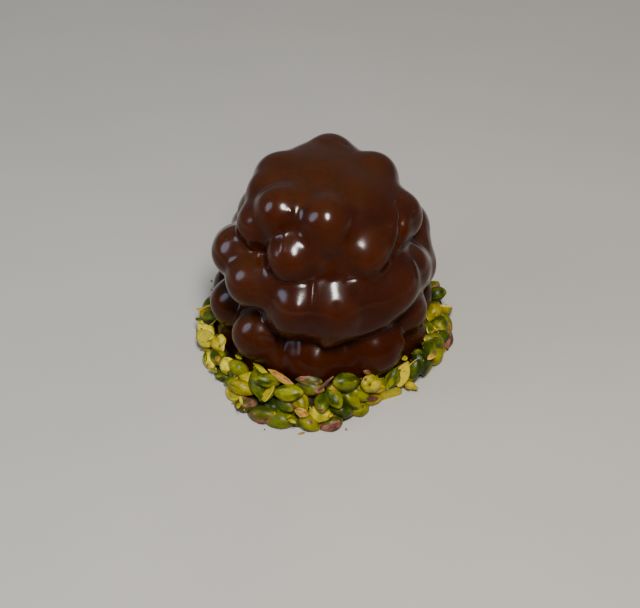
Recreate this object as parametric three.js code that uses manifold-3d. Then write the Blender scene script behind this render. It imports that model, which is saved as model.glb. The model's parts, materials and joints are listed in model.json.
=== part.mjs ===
// A mound of small cream puffs under one thick coat of poured chocolate glaze,
// with a heap of pistachio kernels all round its foot.
// Millimetres, +Z up, the mound stands on z = 0, -Y is the front.

import * as THREE from 'three';
import { mergeVertices } from 'three/addons/utils/BufferGeometryUtils.js';
import Module from 'manifold-3d';

const wasm = await Module();
wasm.setup();

// ---- driving dimensions ------------------------------------------------------

// Each tier is a ring of coated puffs that the glaze has run together.
// flow is how softly the glaze bridges neighbours.
// A puff is [azimuth in degrees from the front, reach from the axis, height, radius, squash].
const TIERS = [
  {
    name: 'crown',
    flow: 3.3,
    puffs: [
      [171, 29, 105.5, 12.3], [-112, 25, 106, 12.6], [106, 29, 107, 13.2], [0, 2, 106, 25, 0.5],
      [150, 22, 104, 11.5], [-160, 21, 103.5, 11.5], [-78, 28, 105, 12.5], [78, 29, 104, 11.5],
      [-40, 33.5, 109.5, 12.7], [4, 35, 110.5, 12.2], [44, 24, 98.5, 23], [-20, 22, 107, 11],
      [6, 39, 101, 8], [-21, 44, 91, 13.3], [31, 43.5, 90.5, 13.2], [56, 42, 97, 12],
      [5, 41, 86, 9.5],
    ],
  },
  {
    name: 'shoulder left',
    flow: 2.6,
    puffs: [
      [-57, 38, 97, 13.4], [-97, 32, 86, 14], [-134, 33, 80, 14.4],
    ],
  },
  {
    name: 'shoulder right',
    flow: 3,
    puffs: [
      [74, 42, 95, 14], [112, 37, 82, 15], [150, 38, 84, 15], [-172, 38, 84, 15], [92, 40, 88, 12],
    ],
  },
  {
    name: 'waist',
    flow: 2.8,
    puffs: [
      [-14, 46, 74, 11.3], [-14.5, 53.4, 67, 11.6], [-16, 52.5, 59, 11.5], [8, 46.5, 72.2, 11.3],
      [3.5, 53.2, 66.8, 11], [13, 53.4, 67.2, 11], [9, 52.8, 59, 11.5], [46, 51, 67, 15.5],
      [30, 48.5, 66, 13], [66, 50, 66, 13.5], [-27, 51, 54.5, 7.5], [-17, 52, 52.5, 7],
      [-5, 52.5, 53.5, 7], [5, 55, 49.5, 6.5], [15, 53.2, 53.5, 7.5], [25, 53, 54, 8],
      [35, 52, 56, 9], [45, 51, 58, 10], [62, 49, 60, 11], [31, 50, 60, 11], [-31, 44, 73, 12],
      [-3, 42, 72, 10], [25, 44.5, 75, 12], [50, 44, 75, 13],
    ],
  },
  {
    name: 'waist back',
    flow: 2.8,
    puffs: [
      [80, 50, 58, 14.5], [105, 48, 70, 14], [140, 50, 60, 15], [172, 50, 60, 15],
      [-156, 49.5, 60, 15], [92, 48, 64, 12],
    ],
  },
  {
    name: 'waist left',
    flow: 2.4,
    puffs: [
      [-46, 51.5, 70, 14.5], [-68, 49, 76, 14.5], [-124, 45, 58, 14.5], [-95, 48, 60, 13.5],
      [-34, 50, 70, 11],
    ],
  },
  {
    name: 'hip',
    flow: 3,
    puffs: [
      [-77, 50, 33, 14.2], [-42, 51.5, 34, 15], [-5, 49, 25, 16.3], [34, 51.5, 29, 16.3],
      [64, 51, 38, 13], [68, 51, 20, 12], [98, 50, 24, 14.5], [130, 50, 22, 14.5],
      [162, 50, 22, 14.5], [-164, 50, 22, 14.5], [-134, 50, 22, 14.5], [-105, 50, 24, 14.5],
      [-25, 46, 22, 13], [15, 46, 22, 13],
    ],
  },
];
const FOOT_PUFFS = { count: 11, reach: 46, height: 11, radius: 13 };
const BODY = [[0, 0, 28, 50], [0, 0, 60, 48.5], [0, 0, 82, 40], [0, 0, 4, 57, 0.5]];
const BODY_FLOW = 3;
const TIER_FLOW = 2.3;

// Rays find the glaze from outside: their starts climb the axis as they turn from down to up.
const RAYS = {
  axisMiddle: 50,
  axisUp: 32,
  axisDown: 45,
  droop: 0.35,
  farOut: 130,
  steps: 90,
  stride: 0.9,
};
// The skin of triangles that is then eased over it.
const SKIN = { detail: 15, rounds: 30, ease: 0.6, probe: 0.2, groove: 0.7, fillings: 2 };
// Flat facets cut the corners off a round thing, so both are made this much fuller.
const FULLER = { glaze: 0.3, kernel: 1.06 };

// A kernel is plump, or split to about half its thickness; thickness is for its width.
const KERNELS = {
  seed: 617,
  halfLength: [6.8, 9.4],
  halfWidth: [4.3, 5.4],
  thickness: [0.7, 0.92],
  splitShare: 0.3,
  splitThickness: 0.5,
  sides: 6,
  bands: 3,
};
// The heap leans on the mound: its crest is highest and its edge widest at the front.
const CREST = { reach: 62, height: 12, rise: 13, riseAt: 6, riseWidth: 38 };
const EDGE = {
  reach: 72.5,
  swells: [[11.5, -14, 28], [4, 92, 20], [-4.5, 36, 14]],
};
// Kernels that catch the eye, laid by hand: azimuth, share of the way from crest to edge,
// yaw, dip, half length, half width, thickness for its width.
const LAID = [
  [13, 0.11, 6, -10, 9.2, 5.6, 0.85], [-6, 0.13, -10, -2, 8.4, 4.4, 0.5],
  [-30, 0.21, -64, -8, 9.2, 5.4, 0.8], [33, 0.35, 30, -20, 9.4, 4.4, 0.5],
  [-41, 0.8, -9, 30, 8.6, 5, 0.75], [-26, 0.85, -10, 16, 9.8, 5.2, 0.7],
  [-17, 0.88, 25, 28, 9.8, 5.6, 0.75], [-18, 0.44, -43, -18, 7.4, 5, 0.8],
  [-10, 0.44, -52, -30, 7.4, 4.8, 0.8], [13, 0.53, -19, -45, 8.4, 4.6, 0.6],
  [19, 0.5, -2, -45, 8, 4.6, 0.6], [8, 0.62, -2, -28, 7.6, 4.8, 0.7],
  [0, 0.66, -14, -20, 7, 5, 0.7], [-4, 0.86, -61, -36, 7, 5.4, 0.75],
  [3, 0.86, 42, 26, 7.2, 5, 0.7], [18, 0.93, 10, -40, 6.6, 4.4, 0.7],
  [27, 0.97, 36, -20, 8.6, 4.4, 0.5], [43, 0.88, 24, -28, 7.6, 4.2, 0.6],
  [46, 0.32, 58, 20, 6.6, 4.4, 0.6], [57, 0.44, -11, -40, 8.2, 6, 0.85],
  [70, 0.84, 59, -2, 8.2, 5.6, 0.85], [78, 0.48, 32, -26, 9, 4.4, 0.6],
  [90, 0.49, -61, -20, 7.6, 5.4, 0.75], [94, 0.92, -14, 8, 8.2, 5, 0.85],
  [-64, 0.4, -63, 1, 8.4, 5.2, 0.8], [-66, 0.75, -44, 20, 6.6, 4.8, 0.75],
  [-86, 0.5, -35, 32, 7.4, 4.8, 0.7], [-53, 0.2, -46, 9, 6, 5, 0.8],
  [-45, 0, -47, 4, 7.2, 4.6, 0.7], [-45, 0.5, 4, 32, 7.4, 5, 0.7],
  [-53, 0.62, -49, 8, 7.6, 4.6, 0.7], [-21, 0.58, -57, -26, 6.6, 4.8, 0.7],
];
// The rest lie by chance, in rows: share of the way from crest to edge, kernels in a full turn.
const ROWS = [
  { share: 0.08, count: 36 },
  { share: 0.5, count: 38 },
  { share: 0.92, count: 42 },
  { share: 0.3, count: 16 },
  { share: 0.7, count: 16 },
];
// How far chance moves a kernel: in its place along the row, in share, in dip and in roll.
const CHANCE = { place: 0.8, share: 0.16, dip: 0.9, roll: 1.2 };
const ELBOW_ROOM = 6.5;
const LONG_SLOPE = 18;
const MIDWAY = [0.2, 0.8];
const LIFT = { laid: 2.5, chance: 4 };
// Kernels settle as three balls each: falling, pushed apart, the laid ones hardly giving way.
const SETTLE = {
  rounds: 60,
  quiet: 30,
  fall: 0.25,
  quietFall: 0.025,
  push: 0.4,
  farthestPush: 1.5,
  ballShare: 0.86,
  tipShare: 0.72,
  laidGives: 0.2,
};
// What the kernels lie on, this far under the heap's own slope.
const CORE = { inner: 50, cover: 5, rim: 5, rimHeight: 2, sink: 1.3, sides: 60 };
const GAP = 0.5;
const TABLE_BLOCK = 400;

const COLOURS = { glaze: 0x3b1a0e, pistachio: 0x8f9a2c };
const ROUGHNESS = { glaze: 0.2, pistachio: 0.5 };

const DEGREES = Math.PI / 180;

// ---- helpers -----------------------------------------------------------------

function makeRandom(seed) {
  let state = seed;
  return () => {
    state = (state * 1664525 + 1013904223) % 4294967296;
    return state / 4294967296;
  };
}

function between(range, share) {
  return range[0] + (range[1] - range[0]) * share;
}

function bump(azimuth, middle, width) {
  const turn = ((azimuth - middle + 540) % 360) - 180;
  return Math.exp(-((turn / width) ** 4));
}

function toSolid(geometry) {
  const bare = geometry.index ? geometry.clone() : geometry;
  bare.deleteAttribute('normal');
  bare.deleteAttribute('uv');
  const merged = mergeVertices(bare, 1e-4);
  return new wasm.Manifold(new wasm.Mesh({
    numProp: 3,
    vertProperties: new Float32Array(merged.attributes.position.array),
    triVerts: new Uint32Array(merged.index.array),
  }));
}

function toGeometry(solid) {
  const mesh = solid.getMesh();
  const geometry = new THREE.BufferGeometry();
  geometry.setAttribute('position', new THREE.BufferAttribute(mesh.vertProperties, 3));
  geometry.setIndex(new THREE.BufferAttribute(mesh.triVerts, 1));
  geometry.computeVertexNormals();
  return geometry;
}

// Everything above the table.
function aboveTable(solid) {
  const block = new THREE.BoxGeometry(TABLE_BLOCK, TABLE_BLOCK, TABLE_BLOCK);
  block.translate(0, 0, TABLE_BLOCK / 2);
  return solid.intersect(toSolid(block));
}

// ---- glazed mound ------------------------------------------------------------

function placePuff([azimuth, reach, height, radius, squash = 1]) {
  const turn = azimuth * DEGREES;
  return { x: reach * Math.sin(turn), y: -reach * Math.cos(turn), z: height, radius, squash };
}

function footPuffs() {
  const { count, reach, height, radius } = FOOT_PUFFS;
  return Array.from({ length: count }, (_, i) => [(360 * (i + 0.5)) / count, reach, height, radius]);
}

const PUFF_GROUPS = [
  ...TIERS.map(({ flow, puffs }) => ({ flow, puffs: puffs.map(placePuff) })),
  { flow: BODY_FLOW, puffs: [...BODY, ...footPuffs()].map(placePuff) },
];

// Smooth union: a soft minimum of distances, wider where flow is larger.
function softMinimum(distances, flow) {
  const least = Math.min(...distances);
  const sum = distances.reduce((total, d) => total + Math.exp((least - d) / flow), 0);
  return least - flow * Math.log(sum);
}

function puffDistance(puff, x, y, z) {
  const away = Math.hypot(x - puff.x, y - puff.y, (z - puff.z) / puff.squash);
  return (away - puff.radius) * puff.squash;
}

function glazeDistance(x, y, z) {
  const groups = PUFF_GROUPS.map(({ flow, puffs }) => (
    softMinimum(puffs.map((puff) => puffDistance(puff, x, y, z)), flow)
  ));
  return softMinimum(groups, TIER_FLOW);
}

// Walks in from far outside along one ray until the glaze is `lift` away.
function glazePoint(unit, lift) {
  const down = unit.z < 0;
  const start = RAYS.axisMiddle + (down ? RAYS.axisDown : RAYS.axisUp) * unit.z;
  const way = new THREE.Vector3(unit.x, unit.y, down ? unit.z * RAYS.droop : unit.z).normalize();
  let reach = RAYS.farOut;
  for (let i = 0; i < RAYS.steps; i += 1) {
    const distance = glazeDistance(way.x * reach, way.y * reach, start + way.z * reach) - lift;
    reach -= distance * RAYS.stride;
  }
  return way.multiplyScalar(reach).add(new THREE.Vector3(0, 0, start));
}

// The way out of the glaze, by differences.
function glazeNormal(at) {
  const step = SKIN.probe;
  return new THREE.Vector3(
    glazeDistance(at.x + step, at.y, at.z) - glazeDistance(at.x - step, at.y, at.z),
    glazeDistance(at.x, at.y + step, at.z) - glazeDistance(at.x, at.y - step, at.z),
    glazeDistance(at.x, at.y, at.z + step) - glazeDistance(at.x, at.y, at.z - step),
  ).normalize();
}

function neighbourLists(index, count) {
  const lists = Array.from({ length: count }, () => new Set());
  for (let i = 0; i < index.count; i += 3) {
    const corners = [index.getX(i), index.getX(i + 1), index.getX(i + 2)];
    for (const one of corners) {
      corners.filter((other) => other !== one).forEach((other) => lists[one].add(other));
    }
  }
  return lists.map((list) => [...list]);
}

function middlesOf(points, neighbours) {
  return neighbours.map((list) => {
    const sum = list.reduce((total, i) => total.add(points[i]), new THREE.Vector3());
    return sum.divideScalar(list.length);
  });
}

// Evens the triangles out over the glaze, so that the grooves under the tiers fill too.
function relaxSkin(points, neighbours, lift) {
  for (let round = 0; round < SKIN.rounds; round += 1) {
    const middles = middlesOf(points, neighbours);
    points.forEach((point, i) => {
      point.lerp(middles[i], SKIN.ease);
      const away = glazeDistance(point.x, point.y, point.z) - lift;
      point.addScaledVector(glazeNormal(point), -away);
    });
  }
}

// In a groove too sharp for the triangles the skin spans it instead of zigzagging.
function spanGrooves(points, neighbours, lift) {
  for (let round = 0; round < SKIN.fillings; round += 1) {
    const middles = middlesOf(points, neighbours);
    points.forEach((point, i) => {
      const { x, y, z } = middles[i];
      if (glazeDistance(x, y, z) - lift > SKIN.groove) {
        point.copy(middles[i]);
      }
    });
  }
}

function makeGlaze(lift) {
  const geometry = new THREE.IcosahedronGeometry(1, SKIN.detail);
  geometry.deleteAttribute('normal');
  geometry.deleteAttribute('uv');
  const ball = mergeVertices(geometry, 1e-5);
  const position = ball.attributes.position;
  const unit = new THREE.Vector3();
  const points = Array.from({ length: position.count }, (_, i) => (
    glazePoint(unit.fromBufferAttribute(position, i).normalize(), lift)
  ));
  const neighbours = neighbourLists(ball.index, position.count);
  relaxSkin(points, neighbours, lift);
  spanGrooves(points, neighbours, lift);
  points.forEach((point, i) => position.setXYZ(i, point.x, point.y, point.z));
  return aboveTable(toSolid(ball));
}

// ---- pistachio heap ----------------------------------------------------------

function heapEdge(azimuth) {
  return EDGE.swells.reduce(
    (reach, [swell, middle, width]) => reach + swell * bump(azimuth, middle, width),
    EDGE.reach,
  );
}

function heapCrest(azimuth) {
  return CREST.height + CREST.rise * bump(azimuth, CREST.riseAt, CREST.riseWidth);
}

function placeKernel({ azimuth, share, lift, yaw, dip, ...rest }) {
  const turn = azimuth * DEGREES;
  const reach = between([CREST.reach, heapEdge(azimuth)], share);
  const height = between([heapCrest(azimuth), 0], share) + lift;
  return {
    ...rest,
    azimuth,
    share,
    centre: new THREE.Vector3(reach * Math.sin(turn), -reach * Math.cos(turn), height),
    axis: new THREE.Vector3(Math.cos(yaw), Math.sin(yaw), Math.tan(dip)).normalize(),
  };
}

function laidKernel([azimuth, share, yaw, dip, halfLength, halfWidth, thickness]) {
  return placeKernel({
    azimuth,
    share,
    lift: LIFT.laid,
    yaw: yaw * DEGREES,
    dip: dip * DEGREES,
    halfLength,
    halfWidth,
    thickness,
    roll: 0,
    give: SETTLE.laidGives,
  });
}

function chanceKernel(row, place, random) {
  const azimuth = (360 * (place + CHANCE.place * random())) / row.count;
  const halfLength = between(KERNELS.halfLength, random());
  const halfWidth = between(KERNELS.halfWidth, random());
  const split = random() < KERNELS.splitShare;
  const plump = between(KERNELS.thickness, random());
  return placeKernel({
    azimuth,
    share: row.share + CHANCE.share * (random() - 0.5),
    lift: LIFT.chance,
    yaw: 2 * Math.PI * random(),
    dip: CHANCE.dip * (random() - 0.5),
    halfLength,
    halfWidth,
    thickness: split ? KERNELS.splitThickness : plump,
    roll: CHANCE.roll * (random() - 0.5),
    give: 1,
  });
}

// A row between two others is kept only where the slope is long enough for it,
// and no kernel starts on top of one that is laid by hand.
function hasRoom(kernel, laid) {
  const slope = Math.hypot(heapEdge(kernel.azimuth) - CREST.reach, heapCrest(kernel.azimuth));
  const midway = kernel.share > MIDWAY[0] && kernel.share < MIDWAY[1];
  const crowded = midway && slope < LONG_SLOPE;
  return !crowded && laid.every((other) => other.centre.distanceTo(kernel.centre) > ELBOW_ROOM);
}

function layHeap(random) {
  const laid = LAID.map(laidKernel);
  const byChance = ROWS.flatMap((row) => (
    Array.from({ length: row.count }, (_, place) => chanceKernel(row, place, random))
  ));
  return [...laid, ...byChance.filter((kernel) => hasRoom(kernel, laid))];
}

// Each kernel is three balls in a row: tip, middle, tip.
function kernelBalls(kernel) {
  const radius = SETTLE.ballShare * kernel.halfWidth * (0.5 + 0.5 * kernel.thickness);
  const tip = SETTLE.tipShare * radius;
  const arm = kernel.halfLength - tip;
  return [-1, 0, 1].map((side) => ({
    kernel,
    side,
    radius: side === 0 ? radius : tip,
    at: kernel.centre.clone().addScaledVector(kernel.axis, side * arm),
    push: new THREE.Vector3(),
  }));
}

// The bank under the kernels: its height here, and how steeply it falls outward.
function coreSlope(azimuth) {
  const run = heapEdge(azimuth) - CORE.rim - CREST.reach;
  const drop = heapCrest(azimuth) - CORE.cover - CORE.rimHeight;
  return { run, drop };
}

function pushFromCore(ball, reach, azimuth) {
  const { run, drop } = coreSlope(azimuth);
  const share = (reach - CREST.reach) / run;
  if (share > 1) {
    return;
  }
  const top = CORE.rimHeight + drop * (1 - Math.max(0, share));
  const long = Math.hypot(run, drop);
  const depth = ((top - ball.at.z) * run) / long + ball.radius - CORE.sink;
  if (depth > 0) {
    const outward = (depth * drop) / long / reach;
    ball.push.x += outward * ball.at.x;
    ball.push.y += outward * ball.at.y;
    ball.push.z += (depth * run) / long;
  }
}

function pushFromSurroundings(ball) {
  const reach = Math.hypot(ball.at.x, ball.at.y);
  const azimuth = Math.atan2(ball.at.x, -ball.at.y) / DEGREES;
  if (ball.at.z < ball.radius) {
    ball.push.z += ball.radius - ball.at.z;
  }
  pushFromCore(ball, reach, azimuth);
  const clearance = glazeDistance(ball.at.x, ball.at.y, ball.at.z) - ball.radius;
  if (clearance < 0) {
    ball.push.addScaledVector(glazeNormal(ball.at), -clearance);
  }
  const over = reach + ball.radius - heapEdge(azimuth);
  if (over > 0) {
    ball.push.x -= (over * ball.at.x) / reach;
    ball.push.y -= (over * ball.at.y) / reach;
  }
}

function pushApart(one, other) {
  const gap = new THREE.Vector3().subVectors(one.at, other.at);
  const overlap = one.radius + other.radius - gap.length();
  if (overlap > 0) {
    gap.setLength(overlap * SETTLE.push);
    one.push.add(gap);
    other.push.sub(gap);
  }
}

function settleOnce(balls, fall) {
  for (const ball of balls) {
    ball.at.z -= fall * ball.kernel.give;
    ball.push.set(0, 0, 0);
  }
  for (const ball of balls) {
    pushFromSurroundings(ball);
  }
  for (let i = 0; i < balls.length; i += 1) {
    for (let j = i + 1; j < balls.length; j += 1) {
      if (balls[i].kernel !== balls[j].kernel) {
        pushApart(balls[i], balls[j]);
      }
    }
  }
  for (const ball of balls) {
    ball.at.addScaledVector(ball.push.clampLength(0, SETTLE.farthestPush), ball.kernel.give);
  }
}

// Keeps each kernel stiff: its middle and its direction follow its three balls.
function stiffen(kernel, trio) {
  kernel.centre.copy(trio[0].at).add(trio[1].at).add(trio[2].at).divideScalar(3);
  kernel.axis.subVectors(trio[2].at, trio[0].at).normalize();
  const arm = kernel.halfLength - trio[0].radius;
  for (const ball of trio) {
    ball.at.copy(kernel.centre).addScaledVector(kernel.axis, ball.side * arm);
  }
}

function settleHeap(kernels) {
  const trios = kernels.map(kernelBalls);
  const balls = trios.flat();
  for (let round = 0; round < SETTLE.rounds + SETTLE.quiet; round += 1) {
    settleOnce(balls, round < SETTLE.rounds ? SETTLE.fall : SETTLE.quietFall);
    kernels.forEach((kernel, i) => stiffen(kernel, trios[i]));
  }
}

// Square to the heap's own slope.
function slopeNormal(at) {
  const { run, drop } = coreSlope(Math.atan2(at.x, -at.y) / DEGREES);
  const reach = Math.hypot(at.x, at.y);
  return new THREE.Vector3((drop * at.x) / reach, (drop * at.y) / reach, run).normalize();
}

// A plump seed with a point at each end, its flatter side to the slope.
function kernelGeometry(kernel) {
  const geometry = new THREE.SphereGeometry(1, KERNELS.sides, KERNELS.bands);
  geometry.rotateZ(-Math.PI / 2);
  const { halfLength, halfWidth, thickness } = kernel;
  const wide = halfWidth * FULLER.kernel;
  geometry.scale(halfLength, wide, wide * thickness);
  geometry.rotateX(kernel.roll);
  const side = slopeNormal(kernel.centre).cross(kernel.axis).normalize();
  const top = new THREE.Vector3().crossVectors(kernel.axis, side);
  geometry.applyMatrix4(new THREE.Matrix4().makeBasis(kernel.axis, side, top));
  geometry.translate(kernel.centre.x, kernel.centre.y, kernel.centre.z);
  return geometry;
}

// What lies under the kernels that show: a bank that leans on the mound.
function coreGeometry() {
  const under = -1;
  const profile = [
    [CORE.inner, under], [EDGE.reach, under], [EDGE.reach, CORE.rimHeight],
    [CREST.reach, CREST.height], [CORE.inner, CREST.height], [CORE.inner, under],
  ].map(([x, y]) => new THREE.Vector2(x, y));
  const geometry = new THREE.LatheGeometry(profile, CORE.sides);
  geometry.rotateX(Math.PI / 2);
  const position = geometry.attributes.position;
  for (let i = 0; i < position.count; i += 1) {
    const x = position.getX(i);
    const y = position.getY(i);
    const azimuth = Math.atan2(x, -y) / DEGREES;
    const { run, drop } = coreSlope(azimuth);
    const reach = Math.hypot(x, y);
    if (reach > EDGE.reach - 1) {
      const grow = (CREST.reach + run) / reach;
      position.setXY(i, x * grow, y * grow);
    }
    if (position.getZ(i) > CREST.height - 1) {
      position.setZ(i, CORE.rimHeight + drop);
    }
  }
  return geometry;
}

function makeHeap(glazeGrown) {
  const kernels = layHeap(makeRandom(KERNELS.seed));
  settleHeap(kernels);
  const pieces = kernels.map((kernel) => toSolid(kernelGeometry(kernel)));
  let heap = toSolid(coreGeometry());
  heap = pieces.reduce((sum, piece) => sum.add(piece), heap);
  heap = aboveTable(heap).subtract(glazeGrown);
  // Scraps that the mound cuts loose are dropped.
  const bodies = heap.decompose();
  bodies.sort((one, other) => other.volume() - one.volume());
  return bodies[0];
}

// ---- the part ----------------------------------------------------------------

function named(name, geometry, colour, roughness) {
  const material = new THREE.MeshStandardMaterial({ color: colour, roughness, metalness: 0 });
  const mesh = new THREE.Mesh(geometry, material);
  mesh.name = name;
  return mesh;
}

const glaze = toGeometry(makeGlaze(FULLER.glaze));
const heap = toGeometry(makeHeap(makeGlaze(FULLER.glaze + GAP)));

const part = new THREE.Group();
part.add(named('glazed_mound', glaze, COLOURS.glaze, ROUGHNESS.glaze));
part.add(named('pistachio_ring', heap, COLOURS.pistachio, ROUGHNESS.pistachio));

// The origin is the middle of the foot of the whole.
const box = new THREE.Box3().setFromObject(part);
const middle = box.getCenter(new THREE.Vector3());
for (const mesh of part.children) {
  mesh.position.set(-middle.x, -middle.y, -box.min.z);
}

export default part;
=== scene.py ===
import json
import math

import bpy
import numpy as np
from mathutils import Matrix, Vector

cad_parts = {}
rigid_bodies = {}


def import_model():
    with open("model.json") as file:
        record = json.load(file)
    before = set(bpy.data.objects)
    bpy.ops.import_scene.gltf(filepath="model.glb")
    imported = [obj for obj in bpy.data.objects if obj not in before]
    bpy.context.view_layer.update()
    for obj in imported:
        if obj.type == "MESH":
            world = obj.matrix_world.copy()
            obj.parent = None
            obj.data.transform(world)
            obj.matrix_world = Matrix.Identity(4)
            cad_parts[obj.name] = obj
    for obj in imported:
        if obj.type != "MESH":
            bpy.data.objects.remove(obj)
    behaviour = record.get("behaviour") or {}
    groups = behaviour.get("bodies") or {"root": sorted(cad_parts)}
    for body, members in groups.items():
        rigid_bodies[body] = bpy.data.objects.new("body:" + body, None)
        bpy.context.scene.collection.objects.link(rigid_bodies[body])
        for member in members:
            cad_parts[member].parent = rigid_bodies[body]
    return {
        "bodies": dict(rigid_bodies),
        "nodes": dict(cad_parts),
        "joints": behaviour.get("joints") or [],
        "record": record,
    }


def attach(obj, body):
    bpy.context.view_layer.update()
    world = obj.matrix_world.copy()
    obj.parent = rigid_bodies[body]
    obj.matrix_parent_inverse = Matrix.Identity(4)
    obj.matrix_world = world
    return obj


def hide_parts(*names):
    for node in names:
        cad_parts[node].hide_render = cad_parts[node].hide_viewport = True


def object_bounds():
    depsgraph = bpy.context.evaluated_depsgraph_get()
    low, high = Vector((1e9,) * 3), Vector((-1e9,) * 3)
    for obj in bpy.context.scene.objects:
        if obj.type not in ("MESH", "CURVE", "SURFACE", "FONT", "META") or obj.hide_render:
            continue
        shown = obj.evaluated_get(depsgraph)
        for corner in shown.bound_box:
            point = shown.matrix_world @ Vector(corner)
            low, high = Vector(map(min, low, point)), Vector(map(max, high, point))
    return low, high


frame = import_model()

CAD_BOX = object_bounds()

# ---- sizes, in millimetres, in the mound's own frame: +Z up, -Y the front ----------

MM = 0.001
# Kernels, bits and crumbs keep this far inside the solids' box.
CLEARANCE = 0.05
INNER_BOX = np.array(CAD_BOX[0]) + CLEARANCE * MM, np.array(CAD_BOX[1]) - CLEARANCE * MM
# Where the mound's axis stands in the frame, whose origin is the middle of the whole.
MOUND_AXIS = np.array([-2.017, 5.764, 0.0])

# Tiers of coated puffs: azimuth from the front in degrees, reach from the axis, height,
# radius, squash. Flow is how softly the glaze bridges neighbours.
TIERS = {
    "crown": (3.3, [
        (171, 29, 105.5, 12.3), (-112, 25, 106, 12.6), (106, 29, 107, 13.2), (0, 2, 106, 25, 0.5),
        (150, 22, 104, 11.5), (-160, 21, 103.5, 11.5), (-78, 28, 105, 12.5), (78, 29, 104, 11.5),
        (-40, 33.5, 109.5, 12.7), (4, 35, 110.5, 12.2), (44, 24, 98.5, 23), (-20, 22, 107, 11),
        (6, 39, 101, 8), (-21, 44, 91, 13.3), (31, 43.5, 90.5, 13.2), (56, 42, 97, 12),
        (5, 41, 86, 9.5),
    ]),
    "shoulder left": (2.6, [
        (-57, 38, 97, 13.4), (-97, 32, 86, 14), (-134, 33, 80, 14.4),
    ]),
    "shoulder right": (3, [
        (74, 42, 95, 14), (112, 37, 82, 15), (150, 38, 84, 15), (-172, 38, 84, 15),
        (92, 40, 88, 12),
    ]),
    "waist": (2.8, [
        (-14, 46, 74, 11.3), (-14.5, 53.4, 67, 11.6), (-16, 52.5, 59, 11.5), (8, 46.5, 72.2, 11.3),
        (3.5, 53.2, 66.8, 11), (13, 53.4, 67.2, 11), (9, 52.8, 59, 11.5), (46, 51, 67, 15.5),
        (30, 48.5, 66, 13), (66, 50, 66, 13.5), (-27, 51, 54.5, 7.5), (-17, 52, 52.5, 7),
        (-5, 52.5, 53.5, 7), (5, 55, 49.5, 6.5), (15, 53.2, 53.5, 7.5), (25, 53, 54, 8),
        (35, 52, 56, 9), (45, 51, 58, 10), (62, 49, 60, 11), (31, 50, 60, 11), (-31, 44, 73, 12),
        (-3, 42, 72, 10), (25, 44.5, 75, 12), (50, 44, 75, 13),
    ]),
    "waist back": (2.8, [
        (80, 50, 58, 14.5), (105, 48, 70, 14), (140, 50, 60, 15), (172, 50, 60, 15),
        (-156, 49.5, 60, 15), (92, 48, 64, 12),
    ]),
    "waist left": (2.4, [
        (-46, 51.5, 70, 14.5), (-68, 49, 76, 14.5), (-124, 45, 58, 14.5), (-95, 48, 60, 13.5),
        (-34, 50, 70, 11),
    ]),
    "hip": (3, [
        (-77, 50, 33, 14.2), (-42, 51.5, 34, 15), (-5, 49, 25, 16.3), (34, 51.5, 29, 16.3),
        (64, 51, 38, 13), (68, 51, 20, 12), (98, 50, 24, 14.5), (130, 50, 22, 14.5),
        (162, 50, 22, 14.5), (-164, 50, 22, 14.5), (-134, 50, 22, 14.5), (-105, 50, 24, 14.5),
        (-25, 46, 22, 13), (15, 46, 22, 13),
    ]),
}
FOOT_COUNT, FOOT_REACH, FOOT_HEIGHT, FOOT_RADIUS = 11, 46, 11, 13
BODY = [(0, 0, 28, 50), (0, 0, 60, 48.5), (0, 0, 82, 40), (0, 0, 4, 57, 0.5)]
BODY_FLOW = 3
TIER_FLOW = 2.3

# The glaze is first remeshed at this size, then eased onto the flowing surface.
GLAZE_VOXEL = 1.0
GLAZE_ROUNDS = 14
EASE, LONGEST_MOVE = 0.5, 1
BALL_SUBDIVISIONS = 4
SWELL_PROBE = 2.5
# A mark is followed in short steps, each one met by a level line from this far outside.
MARK_STEP = 4
OUTSIDE, APPROACHES, APPROACH = 90, 80, 0.8
# Small forms in the glaze: azimuth and height of both ends, width, rise or dent.
GLAZE_MARKS = [
    (-24, 117, -24, 117, 1.4, 0.6),
    (-17, 91, -17, 91, 1.3, 0.4),
    (6, 86, 6, 86, 1.5, 0.45),
    (-27, 108, -23, 101, 1.8, 0.5),
    (-13, 106, -10, 104, 2.2, 0.3),
    (161, 119, 147, 118, 0.9, -0.45),
    (-51, 90, -46, 86, 2.2, 0.8),
    (-46, 86, -38, 84, 2.0, 0.6),
    (-36, 41, -37, 35, 1.2, 0.6),
    (-32.5, 40.5, -30.5, 39.5, 2.3, -1.2),
    (-29, 42, -28, 41, 2.0, 0.6),
    (-13, 41, -11, 36, 2.2, 0.35),
    (-4.8, 84, -4.4, 58, 1.6, -0.6),
    (-11.5, 72.5, -11.5, 72.5, 5, 0.9),
    (7, 75, 7, 72, 2.4, -0.4),
    (19, 84, 19, 60, 3.6, -0.4),
    (-27, 82.3, -10, 83.7, 1.2, -0.5),
    (14, 83.8, 30, 86.5, 1.2, -0.5),
    (4.5, 95, 2, 87, 3.4, -0.8),
    (-24, 46, -22, 28, 3.0, -0.9),
    (24, 113.5, 12, 106, 2.4, -0.5),
    (64, 110, 56, 105.5, 2.4, -1.7),
    (54, 104, 50, 96, 2.4, -1.7),
    (48.5, 94, 44, 89.5, 2.2, -1.3),
    (48, 105, 44, 97, 2.4, 0.7),
    (1.9, 46, 1.9, 43, 3.4, 1.4),
    (-11, 31, -4, 29, 2.5, -0.6),
    (34, 52, 46, 42, 1.6, 0.6),
    (46, 42, 44, 34, 2.2, 0.8),
    (44, 34, 49, 18, 2.4, 0.7),
    (57, 79, 54, 73, 1.8, 0.6),
    (112, 66, 116, 40, 2.2, 0.6),
    (-150, 70, -146, 50, 2.0, 0.5),
    (175, 44, 171, 20, 2.4, 0.7),
]

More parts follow.
